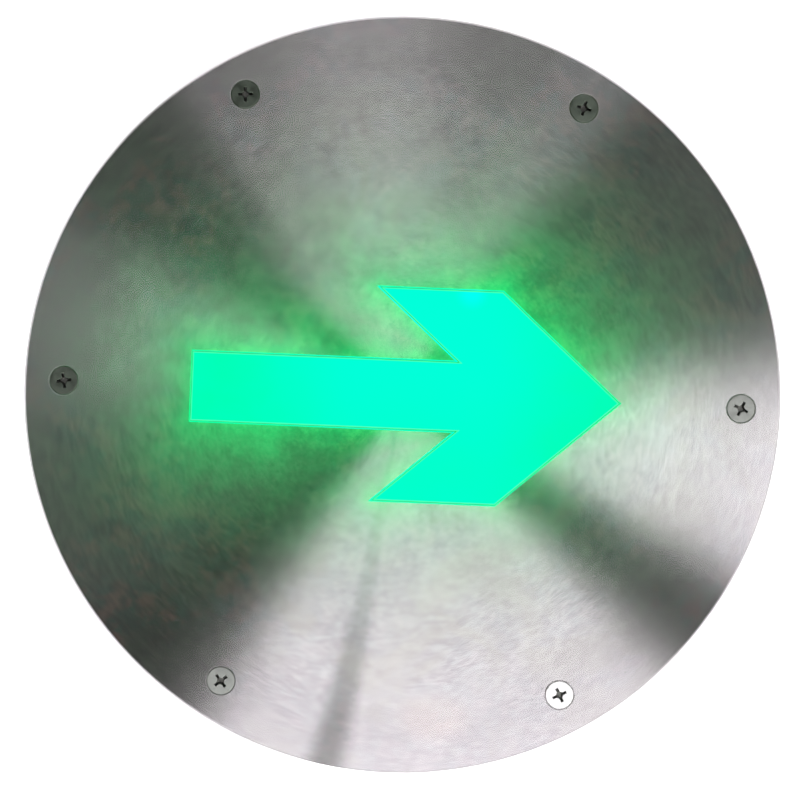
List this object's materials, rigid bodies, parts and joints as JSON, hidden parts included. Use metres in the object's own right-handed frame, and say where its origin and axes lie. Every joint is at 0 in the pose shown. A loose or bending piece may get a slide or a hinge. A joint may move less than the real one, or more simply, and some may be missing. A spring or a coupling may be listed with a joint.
{
  "type": "recessed led direction marker",
  "caption": "Round brushed steel face plate with a flush, lit green arrow, screwed to a sealed cast housing with rim, lugs and cable gland.",
  "frame": {"origin": "middle of the housing's foot, on the surface it stands on", "axes": "+Z out of the lit face, +X the way the arrow points, +Y to the arrow's left"},
  "size_m": [0.22, 0.22, 0.0608],
  "materials": {
    "brushed_steel": "stainless steel, circular brushed",
    "zinc_steel": "bright zinc plated",
    "stainless": "turned stainless steel",
    "green_lens": "clear green acrylic, lit from behind",
    "black_rubber": "matt",
    "opal_plastic": "opal white",
    "white_plastic": "white",
    "cast_aluminium": "die cast, shot blasted",
    "sheet_aluminium": "rolled sheet",
    "black_nylon": "fine matt",
    "grey_plastic": "moulded, fine grain",
    "circuit_board": "solder mask over glass fibre",
    "white_board": "aluminium-core board, white mask",
    "ferrite": "wound and taped core",
    "capacitor_sleeve": "shrunk sleeve",
    "cell_wrap": "shrunk wrap",
    "brass": "plain",
    "led_white": "moulded",
    "led_phosphor": "silicone with phosphor",
    "red_plastic": "moulded",
    "red_insulation": "drawn",
    "black_insulation": "drawn",
    "spring_steel": "drawn wire"
  },
  "bodies": {
    "marker": {"face_plate": "brushed_steel", "arrow_lens": "green_lens", "lens_gasket": "black_rubber", "diffuser_sheet": "opal_plastic", "clamp_frame": "zinc_steel", "clamp_studs": "stainless", "clamp_washers": "zinc_steel", "clamp_nuts": "zinc_steel", "face_screws": "stainless", "face_gasket": "black_rubber", "housing": "cast_aluminium", "gland_body": "black_nylon", "gland_seal": "black_rubber", "gland_nut": "black_nylon", "gland_washer": "black_rubber", "gland_locknut": "black_nylon", "vent_plug": "black_nylon", "vent_seal": "black_rubber", "earth_washer": "zinc_steel", "earth_screw": "zinc_steel", "gear_tray": "zinc_steel", "tray_screws": "zinc_steel", "driver_case": "grey_plastic", "driver_lid": "grey_plastic", "driver_board": "circuit_board", "driver_transformer": "ferrite", "driver_capacitors": "capacitor_sleeve", "driver_components": "black_nylon", "battery_holder": "black_nylon", "battery_cells": "cell_wrap", "battery_contacts": "zinc_steel", "battery_strap": "black_nylon", "terminal_block": "white_plastic", "terminal_screws": "brass", "carrier_plate": "sheet_aluminium", "carrier_screws": "zinc_steel", "led_board": "white_board", "board_screws": "zinc_steel", "led_packages": "led_white", "led_phosphors": "led_phosphor", "light_shroud": "white_plastic", "led_plug": "white_plastic", "test_switch_body": "black_nylon", "test_switch_nut": "zinc_steel", "test_spring": "spring_steel", "test_switch_tags": "zinc_steel", "lead_red": "red_insulation", "lead_black": "black_insulation", "lead_grommet": "black_rubber"},
    "button": {"test_button": "red_plastic"}
  },
  "joints": [
    {"name": "test_press", "type": "slide", "parent": "marker", "child": "button", "axis": [0, 0, -1], "range_m": [0, 0.0016], "stiffness_N_per_m": 400, "deforming": ["test_spring"]}
  ]
}
